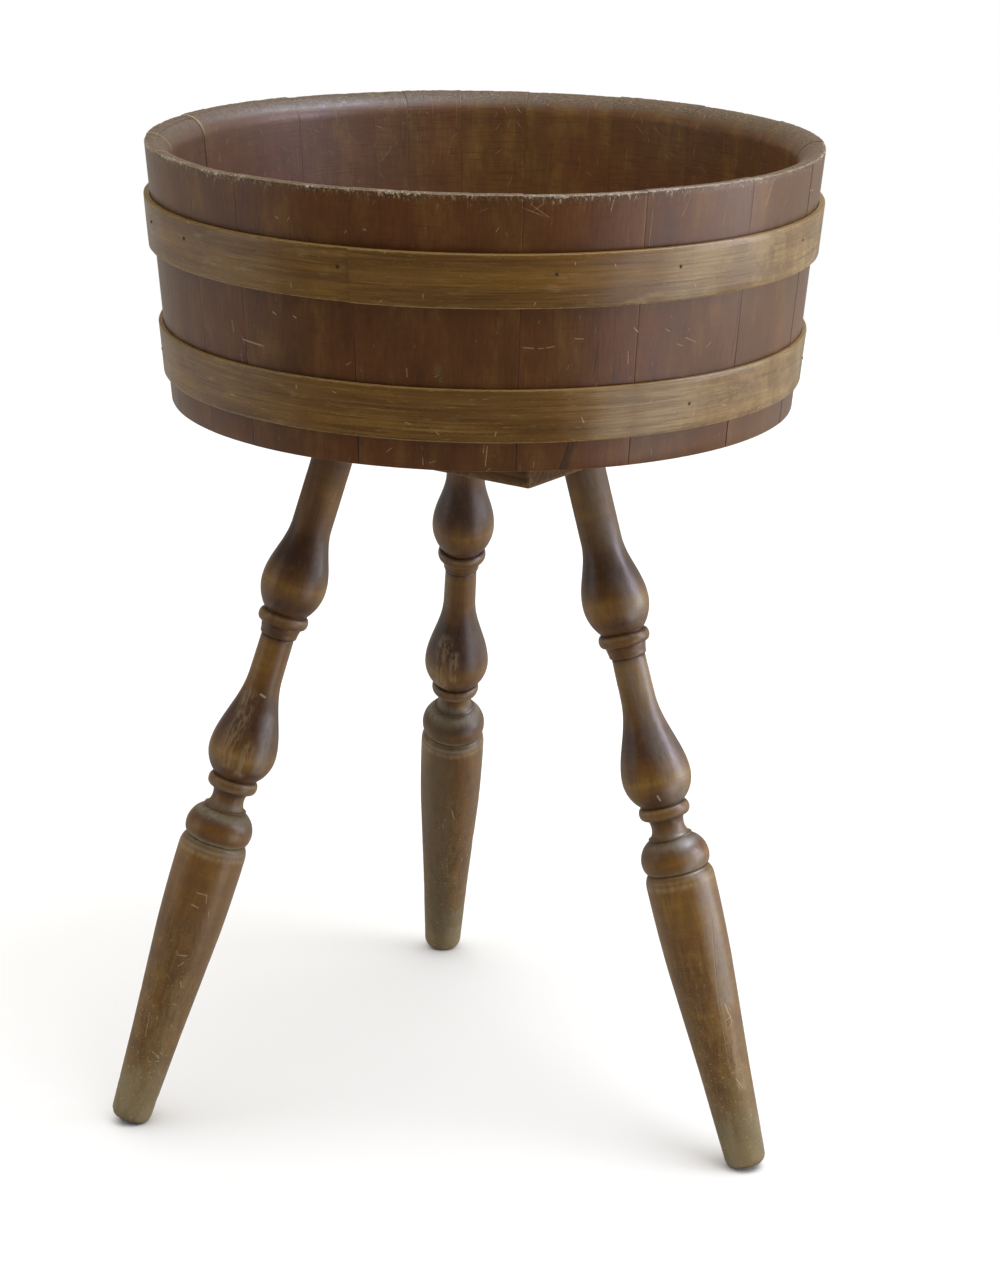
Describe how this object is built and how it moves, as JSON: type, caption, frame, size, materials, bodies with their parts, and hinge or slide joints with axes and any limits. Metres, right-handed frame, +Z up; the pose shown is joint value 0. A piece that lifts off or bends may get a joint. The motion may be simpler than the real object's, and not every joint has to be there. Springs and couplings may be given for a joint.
{
  "type": "plant stand",
  "caption": "Wooden plant stand: a coopered tub bound with wooden hoops, set on a square board with splayed turned legs.",
  "frame": {"origin": "on the floor, in the middle of the stand's extents; the tub's axis stands at x = 14 mm, y = -14 mm", "axes": "+Z up, -Y towards the viewer of the picture, +X to the viewer's right"},
  "size_m": [0.4646, 0.4701, 0.665],
  "materials": {
    "stave_wood": "worn dark red-brown varnish, satin",
    "floor_wood": "old dark stain, matt",
    "dowel_wood": "bare turned wood",
    "hoop_wood": "golden brown varnish, satin",
    "leg_wood": "translucent yellow-brown stain and varnish, satin",
    "board_wood": "brown stain, satin",
    "tack_iron": "dark iron, matt",
    "screw_steel": "dulled steel"
  },
  "bodies": {
    "root": {"stave_01": "stave_wood", "stave_02": "stave_wood", "stave_03": "stave_wood", "stave_04": "stave_wood", "stave_05": "stave_wood", "stave_06": "stave_wood", "stave_07": "stave_wood", "stave_08": "stave_wood", "stave_09": "stave_wood", "stave_10": "stave_wood", "stave_11": "stave_wood", "stave_12": "stave_wood", "stave_13": "stave_wood", "stave_14": "stave_wood", "stave_15": "stave_wood", "stave_16": "stave_wood", "stave_17": "stave_wood", "stave_18": "stave_wood", "head_board_1": "floor_wood", "head_board_2": "floor_wood", "head_board_3": "floor_wood", "head_board_4": "floor_wood", "head_dowels": "dowel_wood", "upper_hoop": "hoop_wood", "lower_hoop": "hoop_wood", "upper_hoop_tacks": "tack_iron", "lower_hoop_tacks": "tack_iron", "leg_block": "board_wood", "block_screws": "screw_steel", "left_leg": "leg_wood", "right_leg": "leg_wood", "back_leg": "leg_wood"}
  },
  "joints": []
}
